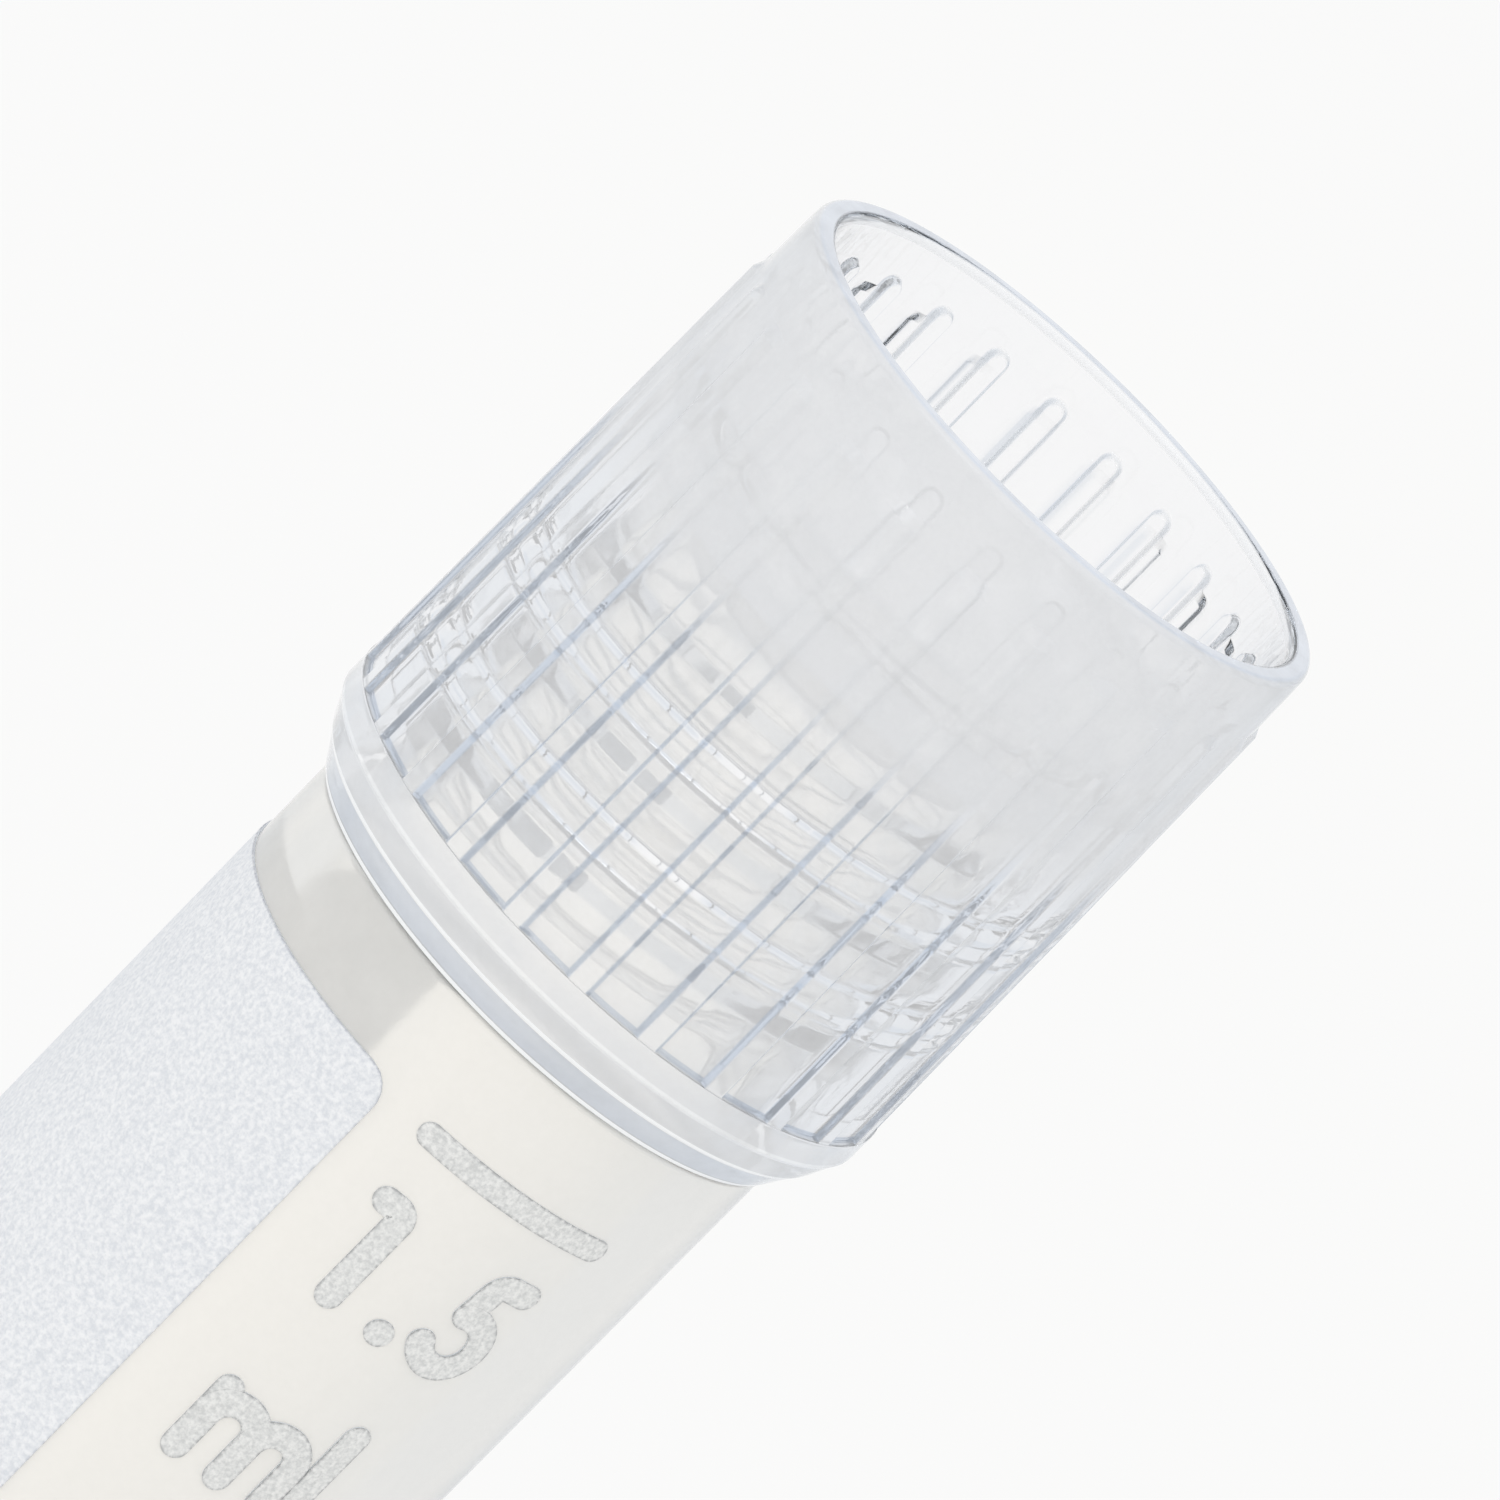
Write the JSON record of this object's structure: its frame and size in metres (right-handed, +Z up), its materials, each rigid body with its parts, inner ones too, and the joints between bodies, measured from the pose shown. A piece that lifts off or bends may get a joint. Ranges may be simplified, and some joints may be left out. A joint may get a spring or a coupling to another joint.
{
  "type": "cryovial",
  "caption": "Small self-standing cryogenic storage vial: milky tube with a star foot, external thread and white writing patch, closed by a clear ribbed screw cap with a deep recess.",
  "frame": {"origin": "centre of the standing skirt on the table", "axes": "+Z up the axis of the vial, out of its mouth; the writing patch faces -X and the graduation -Y"},
  "size_m": [0.0126, 0.0126, 0.048],
  "materials": {
    "milky_polypropylene": "satin",
    "clear_polypropylene": "gloss",
    "silicone": "satin",
    "white_ink": "matt, finely stippled"
  },
  "bodies": {
    "vial": {"vial_body": "milky_polypropylene", "writing_patch": "white_ink"},
    "seal": {"seal_ring": "silicone"},
    "cap": {"cap": "clear_polypropylene"}
  },
  "joints": [
    {"name": "cap_lift", "type": "slide", "parent": "vial", "child": "seal", "axis": [0, 0, 1], "range_m": [0, 0.0044]},
    {"name": "cap_turn", "type": "hinge", "parent": "seal", "child": "cap", "pos_m": [0, 0, 0.044], "axis": [0, 0, 1], "range_deg": [0, 720.5]}
  ],
  "couplings": [
    {"joint": "cap_turn", "follows": "cap_lift", "rad_per_m": 2856}
  ]
}
